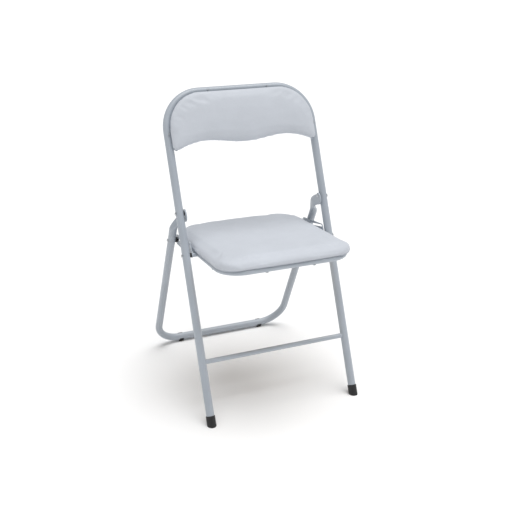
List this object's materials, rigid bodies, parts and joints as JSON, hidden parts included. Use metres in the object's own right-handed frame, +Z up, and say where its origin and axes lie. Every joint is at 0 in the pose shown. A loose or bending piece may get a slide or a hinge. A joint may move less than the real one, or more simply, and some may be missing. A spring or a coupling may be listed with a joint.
{
  "type": "folding chair",
  "caption": "Folding chair with a bent steel-tube frame, a padded seat on a tube ring, a padded backrest with a wavy lower edge and black feet.",
  "frame": {"origin": "on the floor, under the middle of the open chair's bounding box", "axes": "+X to the right as seen by someone facing the chair's front, +Y towards the back, +Z up"},
  "size_m": [0.4504, 0.5492, 0.8191],
  "materials": {
    "frame_paint": "satin light blue-grey powder coat",
    "vinyl": "matt light blue-grey vinyl cloth with a fine grain",
    "black_plastic": "black moulded plastic",
    "steel": "plain zinc-plated steel",
    "plywood": "plain plywood"
  },
  "bodies": {
    "front": {"front_frame": "frame_paint", "front_crossbar": "frame_paint", "back_panel": "frame_paint", "back_pad": "vinyl", "back_screws": "steel", "front_foot_left": "black_plastic", "front_foot_right": "black_plastic", "upper_rivet_left": "steel", "upper_rivet_right": "steel", "upper_washer_left": "black_plastic", "upper_washer_right": "black_plastic", "seat_rivet_left": "steel", "seat_rivet_right": "steel", "seat_washer_left": "black_plastic", "seat_washer_right": "black_plastic"},
    "rear": {"rear_frame": "frame_paint", "rear_foot_left": "black_plastic", "rear_foot_right": "black_plastic", "leg_rivet_left": "steel", "leg_rivet_right": "steel"},
    "seat": {"seat_ring": "frame_paint", "seat_board": "plywood", "seat_cushion": "vinyl", "seat_screws": "steel", "seat_bracket_left": "frame_paint", "seat_bracket_right": "frame_paint"},
    "sliders": {"slot_bush_left": "black_plastic", "slot_bush_right": "black_plastic", "slot_pin_left": "steel", "slot_pin_right": "steel"}
  },
  "joints": [
    {"name": "rear_fold", "type": "hinge", "parent": "front", "child": "rear", "pos_m": [0, -0.0229, 0.51624], "axis": [-1, 0, 0], "range_deg": [0, 49.6]},
    {"name": "seat_fold", "type": "hinge", "parent": "front", "child": "seat", "pos_m": [0, -0.06611, 0.41346], "axis": [-1, 0, 0], "range_deg": [0, 109.1]},
    {"name": "slot_slide", "type": "slide", "parent": "seat", "child": "sliders", "axis": [0, -0.9785, 0.2063], "range_m": [0, 0.11036]}
  ],
  "couplings": [
    {"joint": "seat_fold", "follows": "rear_fold", "ratio": 2.1996},
    {"joint": "slot_slide", "follows": "rear_fold", "m_per_rad": 0.12747}
  ]
}
